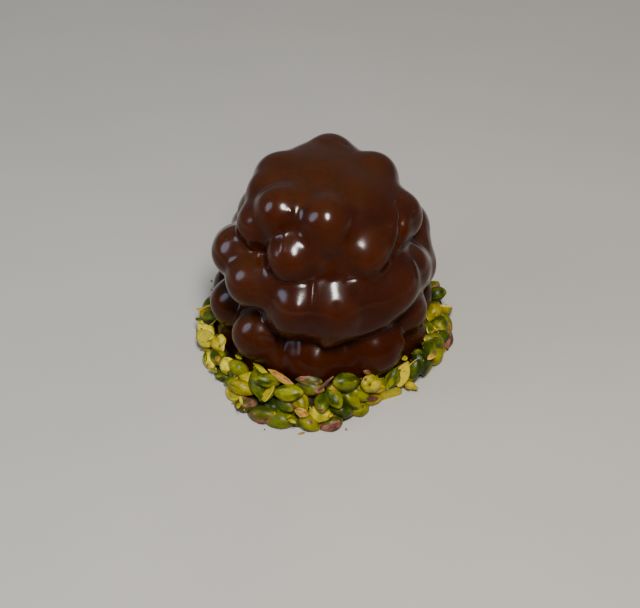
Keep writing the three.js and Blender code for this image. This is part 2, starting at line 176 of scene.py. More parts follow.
# Pistachio kernels.
KERNEL_SEED = 617
HALF_LENGTH = (6.8, 9.4)
HALF_WIDTH = (4.3, 5.4)
THICKNESS = (0.7, 0.92)
SPLIT_SHARE = 0.3
SPLIT_THICKNESS = 0.5
CREST_REACH, CREST_HEIGHT, CREST_RISE, CREST_RISE_AT, CREST_RISE_WIDTH = 62, 12, 13, 6, 38
EDGE_REACH = 72.5
EDGE_SWELLS = [(11.5, -14, 28), (4, 92, 20), (-4.5, 36, 14)]
# Kernels that catch the eye, listed one by one: azimuth, share of the way from crest to edge,
# yaw, dip, half length, half width, thickness for its width, finish.
LAID = [
    (13, 0.11, 6, -10, 9.2, 5.6, 0.85, "green"), (-6, 0.13, -10, -2, 8.4, 4.4, 0.5, "purple"),
    (-30, 0.21, -64, -8, 9.2, 5.4, 0.8, "green"), (33, 0.35, 30, -20, 9.4, 4.4, 0.5, "green"),
    (-41, 0.8, -9, 30, 8.6, 5, 0.75, "pale"), (-26, 0.85, -10, 16, 9.8, 5.2, 0.7, "purple"),
    (-17, 0.88, 25, 28, 9.8, 5.6, 0.75, "green"), (-18, 0.44, -43, -18, 7.4, 5, 0.8, "deep"),
    (-10, 0.44, -52, -30, 7.4, 4.8, 0.8, "yellow"), (13, 0.53, -19, -45, 8.4, 4.6, 0.6, "green"),
    (19, 0.5, -2, -45, 8, 4.6, 0.6, "green"), (8, 0.62, -2, -28, 7.6, 4.8, 0.7, "deep"),
    (0, 0.66, -14, -20, 7, 5, 0.7, "pale"), (-4, 0.86, -61, -36, 7, 5.4, 0.75, "green"),
    (3, 0.86, 42, 26, 7.2, 5, 0.7, "purple"), (18, 0.93, 10, -40, 6.6, 4.4, 0.7, "green"),
    (27, 0.97, 36, -20, 8.6, 4.4, 0.5, "yellow"), (43, 0.88, 24, -28, 7.6, 4.2, 0.6, "yellow"),
    (46, 0.32, 58, 20, 6.6, 4.4, 0.6, "yellow"), (57, 0.44, -11, -40, 8.2, 6, 0.85, "deep"),
    (70, 0.84, 59, -2, 8.2, 5.6, 0.85, "green"), (78, 0.48, 32, -26, 9, 4.4, 0.6, "deep"),
    (90, 0.49, -61, -20, 7.6, 5.4, 0.75, "green"), (94, 0.92, -14, 8, 8.2, 5, 0.85, "green"),
    (-64, 0.4, -63, 1, 8.4, 5.2, 0.8, "green"), (-66, 0.75, -44, 20, 6.6, 4.8, 0.75, "pale"),
    (-86, 0.5, -35, 32, 7.4, 4.8, 0.7, "pale"), (-53, 0.2, -46, 9, 6, 5, 0.8, "pale"),
    (-45, 0, -47, 4, 7.2, 4.6, 0.7, "green"), (-45, 0.5, 4, 32, 7.4, 5, 0.7, "green"),
    (-53, 0.62, -49, 8, 7.6, 4.6, 0.7, "deep"), (-21, 0.58, -57, -26, 6.6, 4.8, 0.7, "deep"),
]
ROWS = [(0.08, 36), (0.5, 38), (0.92, 42), (0.3, 16), (0.7, 16)]
CHANCE_PLACE, CHANCE_SHARE, CHANCE_DIP, CHANCE_ROLL = 0.8, 0.16, 0.9, 1.2
ELBOW_ROOM, LONG_SLOPE = 6.5, 18
LIFT_LAID, LIFT_CHANCE = 2.5, 4
SETTLE_ROUNDS, QUIET_ROUNDS, FALL, QUIET_FALL = 60, 30, 0.25, 0.025
PUSH, FARTHEST_PUSH, BALL_SHARE, TIP_SHARE, LAID_GIVES = 0.4, 1.5, 0.86, 0.72, 0.2
# How the kernels look that chance lays: share of each finish.
CHANCE_FINISHES = [("green", 0.45), ("deep", 0.25), ("purple", 0.1), ("yellow", 0.14), ("pale", 0.06)]
# A finish is its two outer tones, the shade in its darker patches, which partly paint each kernel's
# shaded side, and how much skin is left.
FINISHES = {
    "green": ((0.20, 0.19, 0.001), (0.085, 0.10, 0.001), (0.025, 0.04, 0.001), 0.12),
    "deep": ((0.065, 0.085, 0.001), (0.025, 0.042, 0.001), (0.009, 0.017, 0.001), 0.15),
    "purple": ((0.14, 0.135, 0.001), (0.07, 0.075, 0.001), (0.03, 0.038, 0.002), 0.65),
    "yellow": ((0.42, 0.29, 0.002), (0.22, 0.175, 0.001), (0.09, 0.085, 0.001), 0.1),
    "pale": ((0.68, 0.53, 0.04), (0.42, 0.33, 0.006), (0.20, 0.175, 0.003), 0.05),
    "golden": ((0.50, 0.30, 0.04), (0.28, 0.15, 0.02), (0.2, 0.09, 0.015), 0.3),
    "brown": ((0.22, 0.085, 0.03), (0.11, 0.04, 0.018), (0.06, 0.025, 0.012), 0.8),
}
KERNEL_SEGMENTS, KERNEL_RINGS = 14, 10
BLUNT_END, POINTED_END, ALMOND, WRINKLE, BEND, FACE_HOLLOW = 0.08, 0.3, 0.28, 0.05, 0.12, 0.2
# A split kernel's belly, what is left above its face, and how far it is lifted.
BELLY, FACE_RISE, FACE_LIFT = 1.7, 0.12, 0.75
SPLIT_BELOW, FACE_UP_SHARE = 0.78, 0.2
TONE_SPREAD, SKIN_SPREAD = (0.85, 1.15), (0.5, 1.3)
CHIP_SEGMENTS, CHIP_RINGS = 8, 6
CHIP_COUNT, CHIP_SPOTS, CHIP_REACH = 60, 3, (0.0, 0.97)
CHIP_HALF_LENGTH, CHIP_SLIMNESS, CHIP_THICKNESS = (1.6, 3.6), (0.35, 0.6), 0.4
CHIP_SAG, CHIP_TILT = 0.25, 0.8
# The last finish comes up less often than the others.
CHIP_FINISHES, CHIP_FINISH_SPAN = ("golden", "pale", "green", "yellow", "brown"), 4.4
CRUMB_COUNT, CRUMB_REACH, CRUMB_RADIUS = 150, (0.0, 1.12), (0.35, 0.85)
CRUMB_ROUGHNESS, CRUMB_MARGIN = (0.6, 1.3), 0.002
CRUMB_FINISHES = ("golden", "yellow", "green", "brown")
# Thin shards and broken bits that catch the eye: azimuth, reach, height, yaw, dip, half
# length, half width, thickness for its width, finish.
LAID_BITS = [
    (-20, 65.5, 22.5, -39, -4, 9.6, 2.2, 0.3, "golden"), (-32, 62.8, 20.5, -54, 7, 8.6, 1.5, 0.3, "pale"),
    (1, 67.8, 22.4, 32, 29, 7.6, 1.1, 0.6, "brown"), (7, 68, 21.5, 23, 12, 4.8, 2.4, 0.4, "golden"),
    (-66, 62.2, 16.4, -79, -15, 4.6, 2.8, 0.7, "pale"), (-88, 68.3, 8.3, -55, 32, 5.4, 3.4, 0.7, "pale"),
    (48, 62.6, 18.2, 47, -21, 2.6, 1.5, 0.6, "pale"), (67, 64.8, 12.9, 51, -16, 3.6, 2.6, 0.7, "yellow"),
    (45, 69.5, 4.0, -12, -3, 3.6, 2.6, 0.7, "yellow"), (46, 72.3, 3.4, -28, 0, 2.4, 1.4, 0.7, "pale"),
    (23, 64.2, 23.7, 15, -36, 2.8, 1.8, 0.6, "brown"), (-26, 75, 12.4, -52, -12, 2.9, 1.9, 0.6, "green"),
    (-6, 66.2, 24.3, -8, 0, 7.6, 3.2, 0.35, "purple"), (-8, 78, 11.3, -18, -10, 4.4, 2.8, 0.6, "golden"),
    (28, 67.5, 11.3, 33, -13, 5.4, 2.4, 0.4, "yellow"), (24, 69.3, 7.8, 36, -31, 5.6, 1.6, 0.5, "brown"),
    (77, 74, 4.2, -50, -39, 2.4, 1.6, 0.8, "brown"), (-49, 61.5, 17.8, -43, 5, 2.8, 1.3, 0.6, "pale"),
    (-69, 65, 12.9, -36, 32, 3.8, 2.2, 0.6, "yellow"), (-48, 68, 10.3, -52, 5, 3.7, 2, 0.5, "deep"),
]
# The bank under the kernels.
CORE_INNER, CORE_COVER, CORE_RIM, CORE_RIM_HEIGHT, CORE_SINK = 52, 5, 5, 2, 1.3
BANK_SEGMENTS, BANK_SIDES, BANK_LUMPS = 144, 20, 0.6
FINISH_SEED = 41
SHARP_RIM = math.radians(50)
FLOOR_SIZE = 4

# ---- colours, as the shader takes them ------------------------------------------------

GLAZE_THICK = (0.0235, 0.0036, 0.0002, 1)
GLAZE_THIN = (0.037, 0.0061, 0.0003, 1)
GLAZE_VEIL = (0.039, 0.0088, 0.0012, 1)
# Painted light: the lighter tone of glaze that faces up, as if lit from above.
GLAZE_PAINTED_TOP_LIGHT = (0.037, 0.0094, 0.0012, 1)
PALE_TIP = (0.40, 0.36, 0.03, 1)
SKIN_DARK = (0.075, 0.028, 0.018, 1)
SKIN_LIGHT = (0.23, 0.085, 0.055, 1)
FACE_MIDDLE = (0.46, 0.36, 0.01, 1)
FACE_EDGE = (0.24, 0.23, 0.004, 1)
FACE_RIM = (0.66, 0.46, 0.08, 1)
FLOOR_COLOUR = (0.40, 0.378, 0.345, 1)
# The bank's colours are painted shade: kernels deep in the heap, in the others' shade, darkest in the
# hollows between them.
BANK_DARK = (0.035, 0.045, 0.004, 1)
BANK_LIGHT = (0.10, 0.08, 0.02, 1)
BANK_HOLLOW = (0.015, 0.012, 0.004, 1)

# ---- how the camera and the lights stand ------------------------------------------------

# Where the camera is, in millimetres from the mound's foot, how far down it looks in
# degrees, and its lens and sensor.
CAMERA_AT = np.array([-0.82, -656.7, 600.5])
CAMERA_DOWN = 41.4
CAMERA_LENS = (85.39, 36)
# Azimuth and elevation in degrees, distance and size in metres, power, colour.
LIGHTS = [
    ("key", 8, 58, 1.1, (0.22, 0.5), 21, (1, 0.97, 0.92)),
    ("window", -76, 32, 1.3, (0.6, 0.9), 6.5, (0.58, 0.75, 1)),
]
LOOK_AT = Vector((0, 0, 0.06))
STUDIO_COLOUR = (0.86, 0.87, 0.9, 1)
STUDIO_STRENGTH = 0.17


# ---- small tools --------------------------------------------------------------------

def make_random(seed):
    """The same draws as the solids use, one number between 0 and 1 for each call."""
    state = seed

    def draw():
        nonlocal state
        state = (state * 1664525 + 1013904223) % 4294967296
        return state / 4294967296

    return draw


def between(low_high, share):
    return low_high[0] + (low_high[1] - low_high[0]) * share


def bump(azimuth, middle, width):
    turn = ((azimuth - middle + 540) % 360) - 180
    return np.exp(-((turn / width) ** 4))


def unit_rows(vectors):
    return vectors / np.maximum(np.linalg.norm(vectors, axis=-1, keepdims=True), 1e-9)


def get_points(obj):
    points = np.empty(len(obj.data.vertices) * 3, np.float32)
    obj.data.vertices.foreach_get("co", points)
    return points.reshape(-1, 3).astype(np.float64)


def set_points(obj, points):
    obj.data.vertices.foreach_set("co", np.asarray(points, np.float32).ravel())
    obj.data.update()


def set_attribute(obj, name, kind, values):
    """One value, vector or colour for each vertex."""
    field = {"FLOAT": "value", "FLOAT_VECTOR": "vector", "FLOAT_COLOR": "color"}[kind]
    attribute = obj.data.attributes.new(name, kind, "POINT")
    attribute.data.foreach_set(field, np.asarray(values, np.float32).ravel())


def to_frame(points_mm):
    """Millimetres round the mound's axis to metres in the frame."""
    return (points_mm + MOUND_AXIS) * MM


def only(*objects):
    bpy.ops.object.select_all(action="DESELECT")
    for obj in objects:
        obj.select_set(True)
    bpy.context.view_layer.objects.active = objects[0]


def join(objects, name):
    only(*objects)
    bpy.ops.object.join()
    made = bpy.context.view_layer.objects.active
    made.name = name
    made.data.name = name
    return made


def apply_place(obj):
    only(obj)
    bpy.ops.object.transform_apply(location=True, rotation=True, scale=True)


def apply_modifier(obj, kind, **settings):
    only(obj)
    modifier = obj.modifiers.new(kind.title(), kind)
    for key, value in settings.items():
        setattr(modifier, key, value)
    bpy.ops.object.modifier_apply(modifier=modifier.name)


# ---- the glaze as one flowing surface -------------------------------------------------

def place_puffs(rows):
    placed = []
    for azimuth, reach, height, radius, *rest in rows:
        turn = math.radians(azimuth)
        squash = rest[0] if rest else 1.0
        placed.append((reach * math.sin(turn), -reach * math.cos(turn), height, radius, squash))
    return np.array(placed)


def foot_puffs():
    return [
        (360 * (i + 0.5) / FOOT_COUNT, FOOT_REACH, FOOT_HEIGHT, FOOT_RADIUS)
        for i in range(FOOT_COUNT)
    ]


PUFF_GROUPS = [(flow, place_puffs(rows)) for flow, rows in TIERS.values()]
PUFF_GROUPS.append((BODY_FLOW, place_puffs(BODY + foot_puffs())))


def soft_minimum(distances, flow):
    """Smooth union of distances along the last axis, and each one's share in it."""
    least = distances.min(-1, keepdims=True)
    weights = np.exp((least - distances) / flow)
    total = weights.sum(-1, keepdims=True)
    return (least - flow * np.log(total))[..., 0], weights / total


def glaze_distance(points, with_normal=False):
    distances, normals = [], []
    for flow, puffs in PUFF_GROUPS:
        away = points[:, None, :] - puffs[None, :, :3]
        away[..., 2] /= puffs[:, 4]
        length = np.linalg.norm(away, axis=-1) + 1e-9
        distance, weights = soft_minimum((length - puffs[:, 3]) * puffs[:, 4], flow)
        distances.append(distance)
        if with_normal:
            slope = away / length[..., None] * puffs[:, 4, None]
            slope[..., 2] /= puffs[:, 4]
            normals.append((weights[..., None] * slope).sum(1))
    distance, weights = soft_minimum(np.stack(distances, -1), TIER_FLOW)
    if not with_normal:
        return distance
    normal = (weights[..., None] * np.stack(normals, 1)).sum(1)
    return distance, unit_rows(normal)


def edge_pairs(obj):
    pairs = np.empty(len(obj.data.edges) * 2, np.int32)
    obj.data.edges.foreach_get("vertices", pairs)
    return pairs.reshape(-1, 2)


def neighbour_means(points, pairs):
    total = np.zeros_like(points)
    count = np.zeros(len(points))
    for one, other in ((0, 1), (1, 0)):
        for axis in range(3):
            total[:, axis] += np.bincount(pairs[:, one], points[pairs[:, other], axis], len(points))
        count += np.bincount(pairs[:, one], minlength=len(points))
    return total / count[:, None]


def on_glaze(azimuth, height):
    """Where a level line from outside meets the glaze."""
    turn = math.radians(azimuth)
    point = np.array([[OUTSIDE * math.sin(turn), -OUTSIDE * math.cos(turn), height]])
    inward = np.array([[-math.sin(turn), math.cos(turn), 0]])
    for _ in range(APPROACHES):
        point += APPROACH * glaze_distance(point)[:, None] * inward
    return point[0]


def mark_line(start_azimuth, start_height, end_azimuth, end_height):
    """Points a few millimetres apart on the glaze, from one end of a mark to the other."""
    steps = 1 + int(math.hypot(end_azimuth - start_azimuth, end_height - start_height) / MARK_STEP)
    return [
        on_glaze(
            between((start_azimuth, end_azimuth), step / steps),
            between((start_height, end_height), step / steps))
        for step in range(steps + 1)
    ]


def away_from_line(points, line):
    """Distance of each point from the nearest stretch of a line."""
    nearest = np.full(len(points), 1e9)
    for start, end in zip(line, line[1:]):
        stretch = end - start
        share = np.clip((points - start) @ stretch / max(stretch @ stretch, 1e-9), 0, 1)
        far = np.linalg.norm(points - start - share[:, None] * stretch, axis=1)
        nearest = np.minimum(nearest, far)
    return nearest


def mark_rise(points):
    """How far the small forms lift the glaze, or dent it, at each point."""
    total = np.zeros(len(points))
    for *ends, width, rise in GLAZE_MARKS:
        far = away_from_line(points, mark_line(*ends))
        total += rise * np.exp(-((far / width) ** 2))
    return total


def swelling(points):
    """How round the glaze is: above nought on the tops of puffs, below it in the grooves."""
    total = -6 * glaze_distance(points)
    for axis in range(3):
        for side in (-SWELL_PROBE, SWELL_PROBE):
            probe = points.copy()
            probe[:, axis] += side
            total += glaze_distance(probe)
    return total / SWELL_PROBE ** 2


def rough_mound():
    """Every puff as a ball, joined and remeshed to one skin."""
    balls = []
    for _, puffs in PUFF_GROUPS:
        for x, y, z, radius, squash in puffs:
            bpy.ops.mesh.primitive_ico_sphere_add(
                subdivisions=BALL_SUBDIVISIONS, radius=radius, location=(x, y, z), scale=(1, 1, squash))
            balls.append(bpy.context.view_layer.objects.active)
    mound = join(balls, "glazed_puffs")
    apply_place(mound)
    apply_modifier(mound, "REMESH", mode="VOXEL", voxel_size=GLAZE_VOXEL)
    return mound


def keep_largest_shell(obj):
    pairs = edge_pairs(obj)
    label = np.arange(len(obj.data.vertices))
    while True:
        low = np.minimum(label[pairs[:, 0]], label[pairs[:, 1]])
        new = label.copy()
        np.minimum.at(new, pairs[:, 0], low)
        np.minimum.at(new, pairs[:, 1], low)
        new = new[new]
        if (new == label).all():
            break
        label = new
    names, counts = np.unique(label, return_counts=True)
    if len(names) == 1:
        return
    keep = names[counts.argmax()]
    obj.data.vertices.foreach_set("select", label != keep)
    only(obj)
    bpy.ops.object.mode_set(mode="EDIT")
    bpy.ops.mesh.delete(type="VERT")
    bpy.ops.object.mode_set(mode="OBJECT")


def cut_at_table(obj):
    only(obj)
    bpy.ops.object.mode_set(mode="EDIT")
    bpy.ops.mesh.select_all(action="SELECT")
    bpy.ops.mesh.bisect(plane_co=(0, 0, 0), plane_no=(0, 0, 1), use_fill=True, clear_inner=True)
    bpy.ops.object.mode_set(mode="OBJECT")


def glazed_mound():
    mound = rough_mound()
    keep_largest_shell(mound)
    points = get_points(mound)
    pairs = edge_pairs(mound)
    for _ in range(GLAZE_ROUNDS):
        points += EASE * (neighbour_means(points, pairs) - points)
        distance, normal = glaze_distance(points, with_normal=True)
        points -= np.clip(distance, -LONGEST_MOVE, LONGEST_MOVE)[:, None] * normal
    points += mark_rise(points)[:, None] * normal
    set_points(mound, points)
    cut_at_table(mound)
    points = get_points(mound)
    set_attribute(mound, "swell", "FLOAT", swelling(points))
    set_attribute(mound, "level", "FLOAT", glaze_distance(points, with_normal=True)[1][:, 2])
    set_points(mound, to_frame(points))
    only(mound)
    bpy.ops.object.shade_smooth()
    return mound


# ---- the heap of kernels -----------------------------------------------------------------

def heap_edge(azimuth):
    return EDGE_REACH + sum(swell * bump(azimuth, at, width) for swell, at, width in EDGE_SWELLS)


def heap_crest(azimuth):
    return CREST_HEIGHT + CREST_RISE * bump(azimuth, CREST_RISE_AT, CREST_RISE_WIDTH)


def core_slope(azimuth):
    run = heap_edge(azimuth) - CORE_RIM - CREST_REACH
    drop = heap_crest(azimuth) - CORE_COVER - CORE_RIM_HEIGHT
    return run, drop


def place_kernel(azimuth, share, lift, yaw, dip, **rest):
    turn = math.radians(azimuth)
    reach = between((CREST_REACH, heap_edge(azimuth)), share)
    height = between((heap_crest(azimuth), 0), share) + lift
    return dict(
        rest,
        azimuth=azimuth,
        share=share,
        centre=np.array([reach * math.sin(turn), -reach * math.cos(turn), height]),
        axis=np.array([math.cos(yaw) * math.cos(dip), math.sin(yaw) * math.cos(dip), math.sin(dip)]),
    )


def laid_kernel(row):
    azimuth, share, yaw, dip, half_length, half_width, thickness, finish = row
    return place_kernel(
        azimuth, share, LIFT_LAID, math.radians(yaw), math.radians(dip), half_length=half_length,
        half_width=half_width, thickness=thickness, roll=0.0, give=LAID_GIVES, finish=finish)


def chance_kernel(row_share, count, place, draw):
    azimuth = 360 * (place + CHANCE_PLACE * draw()) / count
    half_length = between(HALF_LENGTH, draw())
    half_width = between(HALF_WIDTH, draw())
    split = draw() < SPLIT_SHARE
    plump = between(THICKNESS, draw())
    share = row_share + CHANCE_SHARE * (draw() - 0.5)
    yaw = 2 * math.pi * draw()
    dip = CHANCE_DIP * (draw() - 0.5)
    roll = CHANCE_ROLL * (draw() - 0.5)
    return place_kernel(
        azimuth, share, LIFT_CHANCE, yaw, dip, half_length=half_length, half_width=half_width,
        thickness=SPLIT_THICKNESS if split else plump, roll=roll, give=1.0, finish="")


def has_room(kernel, laid):
    slope = math.hypot(heap_edge(kernel["azimuth"]) - CREST_REACH, heap_crest(kernel["azimuth"]))
    crowded = 0.2 < kernel["share"] < 0.8 and slope < LONG_SLOPE
    near = any(np.linalg.norm(other["centre"] - kernel["centre"]) <= ELBOW_ROOM for other in laid)
    return not crowded and not near


def lay_heap():
    draw = make_random(KERNEL_SEED)
    laid = [laid_kernel(row) for row in LAID]
    by_chance = [
        chance_kernel(share, count, place, draw) for share, count in ROWS for place in range(count)
    ]
    return laid + [kernel for kernel in by_chance if has_room(kernel, laid)]


class Balls:
    """Each kernel as three balls in a row, tip, middle and tip, for settling the heap."""

    def __init__(self, kernels):
        self.centre = np.array([k["centre"] for k in kernels])
        self.axis = np.array([k["axis"] for k in kernels])
        half_length = np.array([k["half_length"] for k in kernels])
        half_width = np.array([k["half_width"] for k in kernels])
        thickness = np.array([k["thickness"] for k in kernels])
        self.give = np.array([k["give"] for k in kernels])
        radius = BALL_SHARE * half_width * (0.5 + 0.5 * thickness)
        tip = TIP_SHARE * radius
        self.radius = np.stack([tip, radius, tip], 1)
        self.arm = half_length - tip
        self.spread()

    def spread(self):
        sides = np.array([-1, 0, 1])[None, :, None]
        self.at = self.centre[:, None] + self.axis[:, None] * sides * self.arm[:, None, None]

    def push_from_core(self, at, radius, reach, azimuth, push):
        run, drop = core_slope(azimuth)
        share = (reach - CREST_REACH) / run
        top = CORE_RIM_HEIGHT + drop * (1 - np.maximum(0, share))
        long = np.hypot(run, drop)
        depth = (top - at[:, 2]) * run / long + radius - CORE_SINK
        depth = np.where((share <= 1) & (depth > 0), depth, 0)
        outward = depth * drop / long / reach
        push[:, 0] += outward * at[:, 0]
        push[:, 1] += outward * at[:, 1]
        push[:, 2] += depth * run / long

    def push_apart(self, at, radius, push):
        gap = at[:, None] - at[None]
        far = np.linalg.norm(gap, axis=-1)
        overlap = radius[:, None] + radius[None] - far
        owner = np.repeat(np.arange(len(self.centre)), 3)
        overlap = np.where((overlap > 0) & (owner[:, None] != owner[None]), overlap, 0)
        push += (gap * (overlap * PUSH / np.maximum(far, 1e-9))[..., None]).sum(1)

    def settle_once(self, fall):
        at = self.at.reshape(-1, 3)
        radius = self.radius.ravel()
        give = np.repeat(self.give, 3)
        at[:, 2] -= fall * give
        push = np.zeros_like(at)
        reach = np.hypot(at[:, 0], at[:, 1])
        azimuth = np.degrees(np.arctan2(at[:, 0], -at[:, 1]))
        push[:, 2] += np.maximum(0, radius - at[:, 2])
        self.push_from_core(at, radius, reach, azimuth, push)
        distance, normal = glaze_distance(at, with_normal=True)
        push += np.maximum(0, radius - distance)[:, None] * normal
        over = np.maximum(0, reach + radius - heap_edge(azimuth))
        push[:, :2] -= (over / reach)[:, None] * at[:, :2]
        self.push_apart(at, radius, push)
        length = np.linalg.norm(push, axis=1)
        push *= np.minimum(1, FARTHEST_PUSH / np.maximum(length, 1e-9))[:, None]
        self.at = (at + push * give[:, None]).reshape(-1, 3, 3)

    def stiffen(self):
        self.centre = self.at.mean(1)
        self.axis = unit_rows(self.at[:, 2] - self.at[:, 0])
        self.spread()


def settle_heap(kernels):
    balls = Balls(kernels)
    for count in range(SETTLE_ROUNDS + QUIET_ROUNDS):
        balls.settle_once(FALL if count < SETTLE_ROUNDS else QUIET_FALL)
        balls.stiffen()
    for kernel, centre, axis in zip(kernels, balls.centre, balls.axis):
        kernel["centre"] = centre
        kernel["axis"] = axis
    return balls


def slope_normal(at):
    run, drop = core_slope(math.degrees(math.atan2(at[0], -at[1])))
    reach = math.hypot(at[0], at[1])
    normal = np.array([drop * at[0] / reach, drop * at[1] / reach, run])
    return normal / np.linalg.norm(normal)


def kernel_frame(kernel):
    """Columns: along the kernel, across it, and out of its flatter side."""
    side = np.cross(slope_normal(kernel["centre"]), kernel["axis"])
    side /= np.linalg.norm(side)
    top = np.cross(kernel["axis"], side)
    turn = Matrix.Rotation(kernel["roll"], 3, "X")
    return np.stack([kernel["axis"], side, top], 1) @ np.array(turn)


# ---- kernels, bits and crumbs -----------------------------------------------------------------

def seed_shape(unit, half_length, half_width, thickness, split, draw):
    """A wrinkled seed, blunt at one end and pointed at the other; a split one has a flat face."""
    along, across, up = unit.T
    girth = (1 + BLUNT_END * along) * (1 - ALMOND * along ** 2)
    girth -= POINTED_END * np.maximum(0, -along) ** 3
    turn = np.arctan2(up, across)
    wave = np.sin(3 * turn + 2 * along + 6.3 * draw()) + 0.7 * np.sin(5 * turn - 4 * along + 6.3 * draw())
    girth = girth * (1 + WRINKLE * wave * (1 - along ** 2))
    bend = BEND * (draw() - 0.5) * (along ** 2 - 0.3)
    wide = across * girth + bend
    high = up * girth
    if split:
        hollow = FACE_HOLLOW * (1 - along ** 2 - across ** 2)
        face = FACE_RISE * high - np.where(up > 0, hollow, 0)
        high = np.where(up < 0, BELLY * high, face) + FACE_LIFT
    return np.stack([along * half_length, wide * half_width, high * half_width * thickness], 1)


def new_seed(segments, rings):
    """A ball whose poles are its two ends, and its points."""
    bpy.ops.mesh.primitive_uv_sphere_add(segments=segments, ring_count=rings, radius=1)
    seed = bpy.context.view_layer.objects.active
    return seed, get_points(seed)[:, (2, 0, 1)]


def finish_seed(seed, unit, points, finish, split, draw):
    """Sets a seed down in the frame, with the tones and traits its material reads."""
    first, second, shade, skin = FINISHES[finish]
    share = draw()
    tone = np.array(first) * (1 - share) + np.array(second) * share
    tone = tone * between(TONE_SPREAD, draw())
    traits = (float(split), skin * between(SKIN_SPREAD, draw()), draw(), 1)
    set_points(seed, np.clip(to_frame(points), INNER_BOX[0], INNER_BOX[1]))
    set_attribute(seed, "lie", "FLOAT_VECTOR", unit)
    set_attribute(seed, "tone", "FLOAT_COLOR", np.tile((*tone, 1), (len(unit), 1)))
    set_attribute(seed, "shade", "FLOAT_COLOR", np.tile((*shade, 1), (len(unit), 1)))
    set_attribute(seed, "traits", "FLOAT_COLOR", np.tile(traits, (len(unit), 1)))


def chance_finish(draw):
    share = draw()
    for finish, weight in CHANCE_FINISHES:
        share -= weight
        if share < 0:
            return finish
    return CHANCE_FINISHES[0][0]


def add_kernel(kernel, draw):
    seed, unit = new_seed(KERNEL_SEGMENTS, KERNEL_RINGS)
    finish = kernel["finish"] or chance_finish(draw)
    face_up = not kernel["finish"] and draw() < FACE_UP_SHARE
    split = kernel["thickness"] < SPLIT_BELOW and (face_up or finish != "pale")
    shape = seed_shape(
        unit, kernel["half_length"], kernel["half_width"], kernel["thickness"], split, draw)
    if draw() < 0.5:
        shape[:, :2] *= -1
    if split and not face_up:
        shape[:, 1:] *= -1
    points = shape @ kernel_frame(kernel).T + kernel["centre"]
    finish_seed(seed, unit, points, finish, split, draw)
    return seed


def bit_frame(yaw, dip, lean):
    turn = Matrix.Rotation(yaw, 3, "Z") @ Matrix.Rotation(-dip, 3, "Y") @ Matrix.Rotation(lean, 3, "X")
    return np.array(turn)


def add_bit(centre, frame, half_length, half_width, thickness, finish, draw):
    seed, unit = new_seed(CHIP_SEGMENTS, CHIP_RINGS)
    shape = seed_shape(unit, half_length, half_width, thickness, False, draw)
    shape[:, 2] -= CHIP_SAG * half_width * (shape[:, 0] / half_length) ** 2
    finish_seed(seed, unit, shape @ frame.T + centre, finish, False, draw)
    return seed


def laid_bits(draw):
    bits = []
    for azimuth, reach, height, yaw, dip, half_length, half_width, thickness, finish in LAID_BITS:
        turn = math.radians(azimuth)
        centre = np.array([reach * math.sin(turn), -reach * math.cos(turn), height])
        lean = math.asin(slope_normal(centre)[2]) - math.pi / 2
        frame = bit_frame(math.radians(yaw), math.radians(dip), -lean * math.cos(turn))
        bits.append(add_bit(centre, frame, half_length, half_width, thickness, finish, draw))
    return bits


def resting_height(x, y, radius, balls):
    """How high a small ball lies when it is dropped on the heap."""
    at = balls.at.reshape(-1, 3)
    near = balls.radius.ravel() + radius
    flat = (at[:, 0] - x) ** 2 + (at[:, 1] - y) ** 2
    tops = np.where(flat < near ** 2, at[:, 2] + np.sqrt(np.maximum(near ** 2 - flat, 0)), radius)
    return max(radius, tops.max() - 0.35 * radius)


def chance_spot(low_high, draw):
    azimuth = 360 * draw()
    turn = math.radians(azimuth)
    reach = between((CREST_REACH, heap_edge(azimuth)), between(low_high, draw()))
    return reach * math.sin(turn), -reach * math.cos(turn)


def chance_bits(balls, draw):
    bits = []
    while len(bits) < CHIP_COUNT:
        half_length = between(CHIP_HALF_LENGTH, draw())
        half_width = half_length * between(CHIP_SLIMNESS, draw())
        spots = [chance_spot(CHIP_REACH, draw) for _ in range(CHIP_SPOTS)]
        fallen = [(resting_height(x, y, 0.6 * half_width, balls), x, y) for x, y in spots]
        height, x, y = min(fallen)
        centre = np.array([x, y, height])
        if glaze_distance(centre[None])[0] < half_width:
            continue
        yaw = 2 * math.pi * draw()
        dip = CHIP_TILT * (draw() - 0.5)
        lean = CHIP_TILT * (draw() - 0.5)
        finish = CHIP_FINISHES[int(CHIP_FINISH_SPAN * draw())]
        bits.append(add_bit(
            centre, bit_frame(yaw, dip, lean), half_length, half_width, CHIP_THICKNESS, finish, draw))
    return bits


def crumbs(balls, draw):
    made = []
    while len(made) < CRUMB_COUNT:
        x, y = chance_spot(CRUMB_REACH, draw)
        radius = between(CRUMB_RADIUS, draw())
        centre = np.array([x, y, resting_height(x, y, radius, balls)])
        inside = all(abs(to_frame(centre)[axis]) < CAD_BOX[1][axis] - CRUMB_MARGIN for axis in (0, 1))
        if not inside or glaze_distance(centre[None])[0] < radius:
            continue
        bpy.ops.mesh.primitive_ico_sphere_add(subdivisions=1, radius=1)
        crumb = bpy.context.view_layer.objects.active
        unit = get_points(crumb)
        rough = np.array([between(CRUMB_ROUGHNESS, draw()) for _ in unit])
        points = unit * rough[:, None] * radius + centre
        finish = CRUMB_FINISHES[int(len(CRUMB_FINISHES) * draw())]
        finish_seed(crumb, unit, points, finish, False, draw)
        made.append(crumb)
    return made


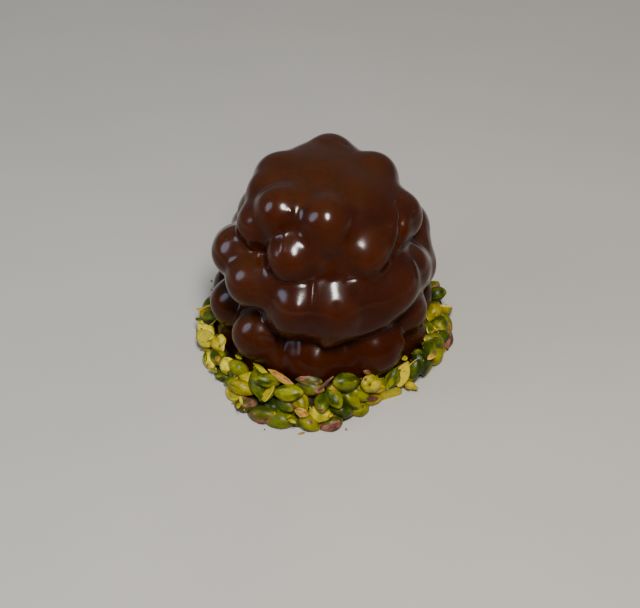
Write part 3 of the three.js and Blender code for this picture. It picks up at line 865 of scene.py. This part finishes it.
def kernel_bank():
    """What the kernels lie on: a ring whose section is the bank that leans on the mound."""
    bpy.ops.mesh.primitive_torus_add(
        major_segments=BANK_SEGMENTS, minor_segments=BANK_SIDES, major_radius=CREST_REACH,
        minor_radius=1)
    bank = bpy.context.view_layer.objects.active
    points = get_points(bank)
    azimuth = np.degrees(np.arctan2(points[:, 0], -points[:, 1]))
    side = np.hypot(points[:, 0], points[:, 1]) - CREST_REACH
    square = np.maximum(np.abs(side), np.abs(points[:, 2]))
    side, up = side / square, points[:, 2] / square
    run, drop = core_slope(azimuth)
    reach = between((CORE_INNER, CREST_REACH + run), (side + 1) / 2)
    share = np.clip((reach - CREST_REACH) / run, 0, 1)
    top = CORE_RIM_HEIGHT + drop * (1 - share) - CORE_SINK
    lumps = np.sin(azimuth * 0.9 + 3 * reach) * np.sin(0.8 * reach) * BANK_LUMPS
    height = (up + 1) / 2 * (top + lumps * (up > 0))
    turn = np.radians(azimuth)
    points = np.stack([reach * np.sin(turn), -reach * np.cos(turn), height], 1)
    set_points(bank, to_frame(points))
    bank.name = bank.data.name = "kernel_bank"
    return bank


# ---- materials ------------------------------------------------------------------------------------

class Graph:
    """Adds nodes to a tree; each method hands back the socket with its result."""

    def __init__(self, tree):
        self.tree = tree

    def add(self, kind, inputs, **settings):
        node = self.tree.nodes.new("ShaderNode" + kind)
        for key, value in settings.items():
            setattr(node, key, value)
        for key, value in inputs.items():
            self.feed(node.inputs[key], value)
        return node

    def feed(self, socket, value):
        if isinstance(value, bpy.types.NodeSocket):
            self.tree.links.new(value, socket)
        else:
            socket.default_value = value

    def place(self):
        return self.add("TexCoord", {}).outputs["Object"]

    def attribute(self, name, output="Color"):
        return self.add("Attribute", {}, attribute_name=name).outputs[output]

    def noise(self, place, scale, detail=2.0, roughness=0.5):
        inputs = {"Vector": place, "Scale": scale, "Detail": detail, "Roughness": roughness}
        return self.add("TexNoise", inputs).outputs["Fac"]

    def math(self, operation, one, other=0.0):
        return self.add("Math", {0: one, 1: other}, operation=operation).outputs[0]

    def step(self, value, low, high, to_low=0.0, to_high=1.0):
        """Low to high, along a smooth step."""
        inputs = {"Value": value, "From Min": low, "From Max": high, "To Min": to_low, "To Max": to_high}
        return self.add("MapRange", inputs, interpolation_type="SMOOTHSTEP").outputs["Result"]

    def mix(self, share, one, other):
        return self.add("Mix", {0: share, 6: one, 7: other}, data_type="RGBA").outputs[2]

    def parts(self, colour):
        node = self.add("SeparateColor", {"Color": colour})
        return node.outputs[0], node.outputs[1], node.outputs[2]

    def bump(self, height, distance, **also):
        inputs = {"Height": height, "Distance": distance, "Strength": 1.0, **also}
        return self.add("Bump", inputs).outputs["Normal"]

    def group(self, tree, inputs):
        node = self.tree.nodes.new("ShaderNodeGroup")
        node.node_tree = tree
        for key, value in inputs.items():
            self.feed(node.inputs[key], value)
        return node.outputs


def new_material(name):
    material = bpy.data.materials.new(name)
    material.use_nodes = True
    shader = material.node_tree.nodes["Principled BSDF"]
    return material, Graph(material.node_tree), shader


def new_group(name, inputs, outputs):
    tree = bpy.data.node_groups.new(name, "ShaderNodeTree")
    for socket, kind in inputs.items():
        tree.interface.new_socket(socket, in_out="INPUT", socket_type="NodeSocket" + kind)
    for socket, kind in outputs.items():
        tree.interface.new_socket(socket, in_out="OUTPUT", socket_type="NodeSocket" + kind)
    return Graph(tree), tree.nodes.new("NodeGroupInput").outputs, tree.nodes.new("NodeGroupOutput").inputs


def mottle_group():
    """Uneven colour: soft patches darker and lighter, and the height that goes with them."""
    graph, given, result = new_group(
        "mottle", {"Colour": "Color", "Scale": "Float", "Depth": "Float"},
        {"Colour": "Color", "Height": "Float"})
    patches = graph.noise(graph.place(), given["Scale"], 4.0, 0.6)
    uneven = graph.step(patches, 0.3, 0.7, -1.0, 1.0)
    lightness = graph.math("ADD", graph.math("MULTIPLY", uneven, given["Depth"]), 1.0)
    scaled = graph.add("VectorMath", {0: given["Colour"], "Scale": lightness}, operation="SCALE")
    graph.feed(result["Colour"], scaled.outputs[0])
    graph.feed(result["Height"], patches)
    return graph.tree


def glaze_material(mottle):
    """Dark chocolate, redder where it is thin on the swells, duller low down and in its veil; painted
    shade darkens it low down and painted light lightens its upward faces.
    """
    material, graph, shader = new_material("chocolate_glaze")
    place = graph.place()
    swell = graph.attribute("swell", "Fac")
    height = graph.add("SeparateXYZ", {0: place}).outputs[2]
    low = graph.step(height, 0.036, 0.05, 1.0, 0.0)
    thin = graph.step(swell, 0.02, 0.16)
    thick = graph.mix(thin, GLAZE_THICK, GLAZE_THIN)
    # Painted shade: low down, under the overhang, the colour darkens toward the thick glaze.
    thick = graph.mix(graph.math("MULTIPLY", low, 0.7), thick, GLAZE_THICK)
    veil = graph.step(graph.noise(place, 34.0, 3.0), 0.42, 0.66)
    colour = graph.mix(graph.math("MULTIPLY", veil, 0.5), thick, GLAZE_VEIL)
    # Painted light: glaze that faces up is lightened, as if lit from above.
    level = graph.step(graph.attribute("level", "Fac"), 0.7, 0.98, 0.0, 0.75)
    colour = graph.mix(level, colour, GLAZE_PAINTED_TOP_LIGHT)
    patches = graph.group(mottle, {"Colour": colour, "Scale": 90.0, "Depth": 0.12})
    graph.feed(shader.inputs["Base Color"], patches["Colour"])

    cells = graph.add("TexVoronoi", {"Vector": place, "Scale": 150.0})
    chosen = graph.step(graph.parts(cells.outputs["Color"])[0], 0.03, 0.05, 1.0, 0.0)
    dome = graph.step(cells.outputs["Distance"], 0.02, 0.11, 1.0, 0.0)
    bubbles = graph.math("MULTIPLY", chosen, dome)
    waves = graph.noise(place, 70.0, 1.0)
    grain = graph.noise(place, 900.0, 2.0)
    normal = graph.bump(waves, 0.0006)
    normal = graph.bump(bubbles, 0.0004, Normal=normal)
    normal = graph.bump(grain, 0.00002, Normal=normal)
    graph.feed(shader.inputs["Normal"], normal)
    smudge = graph.step(graph.noise(place, 45.0, 3.0), 0.35, 0.7, 0.15, 0.25)
    graph.feed(shader.inputs["Roughness"], smudge)
    gloss = graph.step(graph.attribute("level", "Fac"), 0.2, 0.5, 0.0, 0.76)
    gloss = graph.math("MULTIPLY", gloss, graph.step(low, 0.0, 1.0, 1.0, 0.1))
    graph.feed(shader.inputs["Coat Weight"], gloss)
    graph.feed(shader.inputs["Coat Normal"], normal)
    shader.inputs["Coat Roughness"].default_value = 0.19
    shader.inputs["Coat IOR"].default_value = 1.45
    shader.inputs["IOR"].default_value = 1.45
    shader.inputs["Specular IOR Level"].default_value = 0.12
    shader.inputs["Subsurface Weight"].default_value = 0.15
    shader.inputs["Subsurface Radius"].default_value = (0.6, 0.22, 0.08)
    shader.inputs["Subsurface Scale"].default_value = 0.004
    return material


def pistachio_material(mottle):
    """Each kernel in its own tones, darker in patches that partly paint its shaded side, with a pale tip,
    patches of skin and a face where it is split.
    """
    material, graph, shader = new_material("pistachio")
    lie = graph.attribute("lie", "Vector")
    along, across, up = (graph.add("SeparateXYZ", {0: lie}).outputs[i] for i in range(3))
    split, skin, chance = graph.parts(graph.attribute("traits"))
    stretched = graph.add("VectorMath", {0: lie, 1: (1.0, 1.6, 1.6)}, operation="MULTIPLY").outputs[0]
    moved = graph.add("CombineXYZ", {"X": graph.math("MULTIPLY", chance, 40.0)}).outputs[0]
    local = graph.add("VectorMath", {0: stretched, 1: moved}, operation="ADD").outputs[0]
    streaks = graph.noise(local, 1.3, 3.0, 0.5)

    tone = graph.attribute("tone")
    shade = graph.attribute("shade")
    # Partly painted shade: broad noise darkens each kernel toward its shade colour, mostly over one side;
    # the rest is the kernel's own uneven tone.
    shaded_patches = graph.noise(local, 0.55, 2.0, 0.5)
    outer = graph.mix(graph.step(shaded_patches, 0.36, 0.58), shade, tone)
    outer = graph.mix(graph.step(streaks, 0.3, 0.55, 0.35, 0.0), outer, shade)
    pale_end = graph.step(along, 0.7, 1.0, 0.0, 0.3)
    outer = graph.mix(pale_end, outer, PALE_TIP)
    edge = graph.math("ABSOLUTE", up)
    seam = graph.step(edge, 0.02, 0.16, 0.55, 0.0)
    outer = graph.mix(seam, outer, shade)

    patch = graph.math("ADD", graph.noise(local, 0.55, 3.0, 0.55), graph.math("MULTIPLY", skin, 0.28))
    skinned = graph.step(patch, 0.69, 0.73)
    skin_tone = graph.mix(graph.step(streaks, 0.4, 0.6), SKIN_DARK, SKIN_LIGHT)
    outer = graph.mix(skinned, outer, skin_tone)

    inner = graph.mix(graph.step(up, 0.1, 0.8), FACE_EDGE, FACE_MIDDLE)
    inner = graph.mix(0.35, inner, tone)
    on_face = graph.math("MULTIPLY", split, graph.step(up, 0.0, 0.06))
    rim = graph.math("MULTIPLY", split, graph.step(edge, 0.08, 0.22, 1.0, 0.0))
    colour = graph.mix(on_face, outer, inner)
    colour = graph.mix(graph.math("MULTIPLY", rim, 0.85), colour, FACE_RIM)
    patches = graph.group(mottle, {"Colour": colour, "Scale": 420.0, "Depth": 0.16})
    graph.feed(shader.inputs["Base Color"], patches["Colour"])

    normal = graph.bump(streaks, 0.00025)
    normal = graph.bump(patches["Height"], 0.00006, Normal=normal)
    graph.feed(shader.inputs["Normal"], normal)
    graph.feed(shader.inputs["Roughness"], graph.step(skinned, 0.0, 1.0, 0.34, 0.6))
    shader.inputs["Specular IOR Level"].default_value = 0.16
    shader.inputs["Subsurface Weight"].default_value = 0.15
    shader.inputs["Subsurface Radius"].default_value = (1.0, 0.8, 0.15)
    shader.inputs["Subsurface Scale"].default_value = 0.0012
    return material


def bank_material(mottle):
    """Kernels deep in the heap, in the others' shade."""
    material, graph, shader = new_material("kernel_bank")
    place = graph.place()
    cells = graph.add("TexVoronoi", {"Vector": place, "Scale": 110.0})
    pick = graph.parts(cells.outputs["Color"])[0]
    colour = graph.mix(graph.step(pick, 0.2, 0.8), BANK_DARK, BANK_LIGHT)
    # Painted shade in the hollows between the kernels.
    hollow = graph.step(cells.outputs["Distance"], 0.25, 0.6)
    colour = graph.mix(hollow, colour, BANK_HOLLOW)
    patches = graph.group(mottle, {"Colour": colour, "Scale": 300.0, "Depth": 0.3})
    graph.feed(shader.inputs["Base Color"], patches["Colour"])
    graph.feed(shader.inputs["Roughness"], graph.step(patches["Height"], 0.3, 0.7, 0.5, 0.75))
    graph.feed(shader.inputs["Normal"], graph.bump(cells.outputs["Distance"], -0.003))
    shader.inputs["Specular IOR Level"].default_value = 0.1
    return material


def floor_material(mottle):
    material, graph, shader = new_material("floor")
    patches = graph.group(mottle, {"Colour": FLOOR_COLOUR, "Scale": 6.0, "Depth": 0.015})
    graph.feed(shader.inputs["Base Color"], patches["Colour"])
    graph.feed(shader.inputs["Roughness"], graph.step(patches["Height"], 0.3, 0.7, 0.5, 0.6))
    return material


# ---- build ---------------------------------------------------------------------------------------

def hand_over(piece, node, material, name=None):
    """Gives a finished piece its material and its place in the frame's part."""
    if name:
        piece.name = piece.data.name = name
    piece.data.materials.append(material)
    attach(piece, "root")
    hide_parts(node)


def shaded(piece):
    """Smooth, with the rims of split kernels kept sharp."""
    only(piece)
    bpy.ops.object.shade_smooth()
    bpy.ops.object.mode_set(mode="EDIT")
    bpy.ops.mesh.select_all(action="DESELECT")
    bpy.ops.mesh.edges_select_sharp(sharpness=SHARP_RIM)
    bpy.ops.mesh.mark_sharp()
    bpy.ops.object.mode_set(mode="OBJECT")
    return piece


mottle = mottle_group()
pistachio = pistachio_material(mottle)
hand_over(glazed_mound(), "glazed_mound", glaze_material(mottle))

kernels = lay_heap()
balls = settle_heap(kernels)
draw = make_random(FINISH_SEED)
heap = shaded(join([add_kernel(kernel, draw) for kernel in kernels], "pistachio_kernels"))
hand_over(heap, "pistachio_ring", pistachio)
bits = shaded(join(laid_bits(draw) + chance_bits(balls, draw), "pistachio_bits"))
hand_over(bits, "pistachio_ring", pistachio)
hand_over(shaded(join(crumbs(balls, draw), "pistachio_crumbs")), "pistachio_ring", pistachio)
hand_over(kernel_bank(), "pistachio_ring", bank_material(mottle))

bpy.ops.mesh.primitive_plane_add(size=FLOOR_SIZE)
floor = bpy.context.view_layer.objects.active
floor.name = "floor"
floor.data.materials.append(floor_material(mottle))

# ---- camera and lights ------------------------------------------------------------------------------

camera_data = bpy.data.cameras.new("camera")
camera = bpy.data.objects.new("camera", camera_data)
bpy.context.scene.collection.objects.link(camera)
camera_data.lens, camera_data.sensor_width = CAMERA_LENS
camera.location = to_frame(CAMERA_AT)
camera.rotation_euler = (math.radians(90 - CAMERA_DOWN), 0, 0)
bpy.context.scene.camera = camera


def soft_light(name, azimuth, elevation, distance, size, power, colour):
    """An area light that looks at the mound from an azimuth and elevation in degrees."""
    data = bpy.data.lights.new(name, "AREA")
    data.shape = "ELLIPSE"
    data.size, data.size_y = size
    data.energy = power
    data.color = colour
    turn, rise = math.radians(azimuth), math.radians(elevation)
    away = Vector((math.sin(turn) * math.cos(rise), -math.cos(turn) * math.cos(rise), math.sin(rise)))
    light = bpy.data.objects.new(name, data)
    light.location = LOOK_AT + away * distance
    light.rotation_euler = away.to_track_quat("Z", "Y").to_euler()
    bpy.context.scene.collection.objects.link(light)


for light in LIGHTS:
    soft_light(*light)
world = bpy.data.worlds.new("studio")
world.use_nodes = True
background = world.node_tree.nodes["Background"]
background.inputs["Color"].default_value = STUDIO_COLOUR
background.inputs["Strength"].default_value = STUDIO_STRENGTH
bpy.context.scene.world = world
